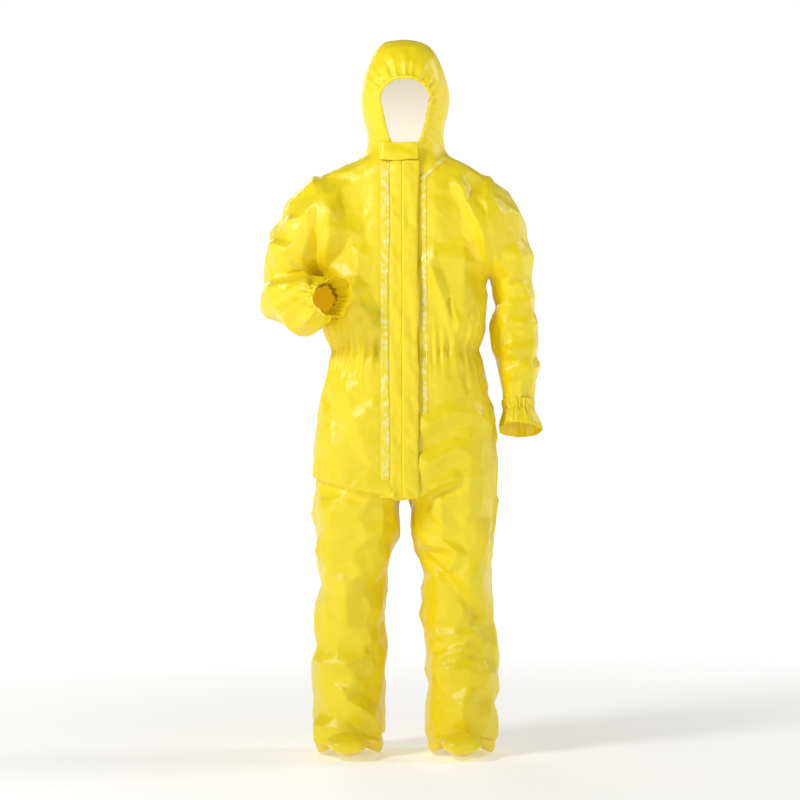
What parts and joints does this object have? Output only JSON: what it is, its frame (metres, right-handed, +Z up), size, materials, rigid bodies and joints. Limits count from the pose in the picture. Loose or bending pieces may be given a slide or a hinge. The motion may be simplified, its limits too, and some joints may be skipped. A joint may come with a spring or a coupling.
{
  "type": "chemical protective suit",
  "caption": "Hooded one-piece chemical protective coverall with elastic face opening, zip under a storm flap, chin flap, elastic waist and cuffs, and attached socks",
  "frame": {"origin": "Middle of the collar seam, where the wearer's shoulders and neck carry the suit", "axes": "+Z up along the standing wearer, -Y is the front of the suit, +X is the wearer's left"},
  "size_m": [0.7005, 0.3804, 1.8],
  "materials": {
    "laminate": "bright yellow film-laminated nonwoven, low gloss, creased",
    "seam_tape": "pale translucent heat-bonded seam tape, crinkled",
    "lining": "white nonwoven inner face",
    "elastic": "covered elastic band",
    "zip_tape": "woven polyester zip tape",
    "zip_teeth": "moulded nylon",
    "adhesive": "double-sided adhesive strip with its paper cover"
  },
  "bodies": {
    "torso": {"front_panel_right": "laminate", "front_panel_left": "laminate", "back_panel": "laminate", "waist_elastic": "elastic", "placket_tape_right": "seam_tape", "placket_tape_left": "seam_tape", "armhole_tape_right": "seam_tape", "armhole_tape_left": "seam_tape", "back_seam_tape": "seam_tape", "collar_band": "laminate", "zip_tape_right": "zip_tape", "zip_tape_left": "zip_tape", "zip_teeth_right": "zip_teeth", "zip_teeth_left": "zip_teeth", "zip_top_stop_right": "zip_teeth", "zip_top_stop_left": "zip_teeth", "zip_bottom_stop": "zip_teeth", "under_flap": "lining", "right_seat_fold": "laminate", "left_seat_fold": "laminate"},
    "hood": {"hood_centre_panel": "laminate", "hood_side_right": "laminate", "hood_side_left": "laminate", "face_elastic_hem": "laminate"},
    "storm_flap": {"storm_flap": "laminate", "flap_adhesive": "adhesive"},
    "chin_flap": {"chin_flap": "laminate"},
    "zip_slider": {"zip_slider": "zip_teeth"},
    "zip_puller": {"zip_puller": "zip_teeth"},
    "right_upper_arm": {"right_sleeve_upper": "laminate", "right_elbow_fold": "laminate"},
    "right_forearm": {"right_sleeve_lower": "laminate", "right_cuff": "laminate", "right_cuff_elastic": "elastic"},
    "right_thigh": {"right_leg_upper": "laminate", "right_knee_fold": "laminate"},
    "right_shin": {"right_leg_lower": "laminate", "right_hem_elastic": "elastic", "right_sock": "laminate"},
    "left_upper_arm": {"left_sleeve_upper": "laminate", "left_elbow_fold": "laminate"},
    "left_forearm": {"left_sleeve_lower": "laminate", "left_cuff": "laminate", "left_cuff_elastic": "elastic"},
    "left_thigh": {"left_leg_upper": "laminate", "left_knee_fold": "laminate"},
    "left_shin": {"left_leg_lower": "laminate", "left_hem_elastic": "elastic", "left_sock": "laminate"}
  },
  "joints": [
    {"name": "hood_tilt", "type": "hinge", "parent": "torso", "child": "hood", "pos_m": [0, 0.06, 0.02], "axis": [-1, 0, 0], "range_deg": [0, 50], "deforming": ["collar_band"]},
    {"name": "storm_flap_hinge", "type": "hinge", "parent": "torso", "child": "storm_flap", "pos_m": [-0.062, -0.12633, -0.42465], "axis": [0, -0.062, -0.9981], "range_deg": [0, 120]},
    {"name": "chin_flap_hinge", "type": "hinge", "parent": "torso", "child": "chin_flap", "pos_m": [-0.066, -0.0785, 0.021], "axis": [0, 0, -1], "range_deg": [0, 110]},
    {"name": "zip_slide", "type": "slide", "parent": "torso", "child": "zip_slider", "axis": [0, -0.062, -0.9981], "range_m": [0, 0.79]},
    {"name": "zip_pull_hinge", "type": "hinge", "parent": "zip_slider", "child": "zip_puller", "pos_m": [0, -0.1028, -0.02635], "axis": [-1, 0, 0], "range_deg": [0, 8]},
    {"name": "right_shoulder", "type": "hinge", "parent": "torso", "child": "right_upper_arm", "pos_m": [-0.213, 0.006, -0.166], "axis": [-1, 0, 0], "range_deg": [0, 45]},
    {"name": "left_shoulder", "type": "hinge", "parent": "torso", "child": "left_upper_arm", "pos_m": [0.213, 0.006, -0.166], "axis": [-1, 0, 0], "range_deg": [-20, 60]},
    {"name": "right_elbow", "type": "hinge", "parent": "right_upper_arm", "child": "right_forearm", "pos_m": [-0.303, 0.008, -0.36], "axis": [-0.8761, -0.4764, 0.0733], "range_deg": [-45, 15], "deforming": ["right_elbow_fold"]},
    {"name": "left_elbow", "type": "hinge", "parent": "left_upper_arm", "child": "left_forearm", "pos_m": [0.272, 0.005, -0.38], "axis": [-1, 0, 0], "range_deg": [0, 75], "deforming": ["left_elbow_fold"]},
    {"name": "right_hip", "type": "hinge", "parent": "torso", "child": "right_thigh", "pos_m": [-0.115, 0, -0.808], "axis": [-1, 0, 0], "range_deg": [-15, 40], "deforming": ["right_seat_fold"]},
    {"name": "right_knee", "type": "hinge", "parent": "right_thigh", "child": "right_shin", "pos_m": [-0.14, 0.005, -1.058], "axis": [1, 0, 0], "range_deg": [0, 60], "deforming": ["right_knee_fold"]},
    {"name": "left_hip", "type": "hinge", "parent": "torso", "child": "left_thigh", "pos_m": [0.115, 0, -0.808], "axis": [-1, 0, 0], "range_deg": [-15, 40], "deforming": ["left_seat_fold"]},
    {"name": "left_knee", "type": "hinge", "parent": "left_thigh", "child": "left_shin", "pos_m": [0.14, 0.005, -1.058], "axis": [1, 0, 0], "range_deg": [0, 60], "deforming": ["left_knee_fold"]}
  ]
}
